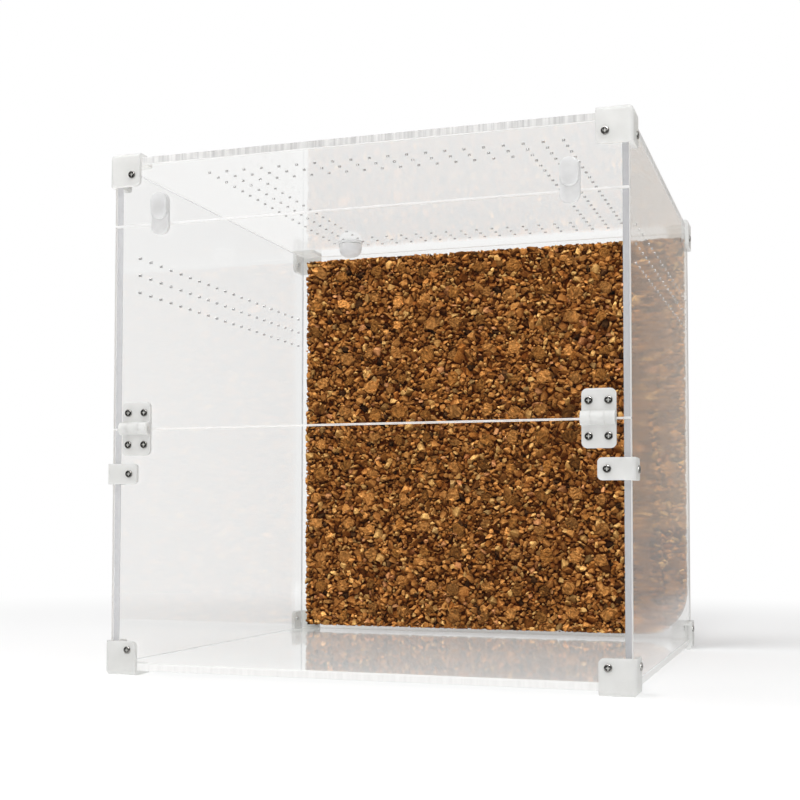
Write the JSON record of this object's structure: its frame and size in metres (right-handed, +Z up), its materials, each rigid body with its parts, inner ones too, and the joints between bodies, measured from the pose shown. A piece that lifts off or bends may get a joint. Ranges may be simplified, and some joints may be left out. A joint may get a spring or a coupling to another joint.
{
  "type": "ant habitat",
  "caption": "Clear cube habitat for ants with a cork back wall, vent holes, corner brackets and a drop-down front door held by two turn buttons.",
  "frame": {"origin": "on the ground plane, below the middle of the case's panels", "axes": "+Z up, the door and the strip face -Y, +X to the viewer's right"},
  "size_m": [0.307, 0.3113, 0.305],
  "materials": {
    "clear_acrylic": "clear cast acrylic sheet, polished",
    "white_plastic": "moulded, slightly see-through white",
    "milky_plastic": "moulded, milky",
    "steel": "bright, turned",
    "cork": "coarse granulated expanded cork",
    "soft_plug": "soft, milky grey"
  },
  "bodies": {
    "case": {"floor_panel": "clear_acrylic", "top_panel": "clear_acrylic", "back_panel": "clear_acrylic", "front_lower_panel": "clear_acrylic", "front_top_strip": "clear_acrylic", "side_panel_left": "clear_acrylic", "side_panel_right": "clear_acrylic", "cork_background": "cork", "bracket_front_left_bottom": "white_plastic", "bracket_front_left_top": "white_plastic", "bracket_back_left_bottom": "white_plastic", "bracket_back_left_top": "white_plastic", "bracket_front_right_bottom": "white_plastic", "bracket_front_right_top": "white_plastic", "bracket_back_right_bottom": "white_plastic", "bracket_back_right_top": "white_plastic", "side_clip_left": "white_plastic", "side_clip_right": "white_plastic", "bracket_screws": "steel", "clip_screws": "steel", "hinge_base_screws": "steel", "hinge_base_leaf_left": "white_plastic", "hinge_base_leaf_right": "white_plastic", "hinge_pin_left": "steel", "hinge_pin_right": "steel"},
    "door": {"door_panel": "clear_acrylic", "hinge_door_leaf_left": "white_plastic", "hinge_door_leaf_right": "white_plastic", "hinge_door_screws": "steel"},
    "latch_left": {"latch_left": "milky_plastic", "latch_pivot_left": "steel"},
    "latch_right": {"latch_right": "milky_plastic", "latch_pivot_right": "steel"},
    "port_plug": {"port_plug": "soft_plug"}
  },
  "joints": [
    {"name": "door_hinge", "type": "hinge", "parent": "case", "child": "door", "pos_m": [0, -0.154, 0.1425], "axis": [1, 0, 0], "range_deg": [0, 180]},
    {"name": "latch_left_turn", "type": "hinge", "parent": "case", "child": "latch_left", "pos_m": [-0.1195, -0.15, 0.272], "axis": [0, 1, 0], "range_deg": [-90, 90]},
    {"name": "latch_right_turn", "type": "hinge", "parent": "case", "child": "latch_right", "pos_m": [0.1195, -0.15, 0.272], "axis": [0, 1, 0], "range_deg": [-90, 90]},
    {"name": "port_plug_lift", "type": "slide", "parent": "case", "child": "port_plug", "axis": [0, 0, 1], "range_m": [0, 0.03]}
  ]
}
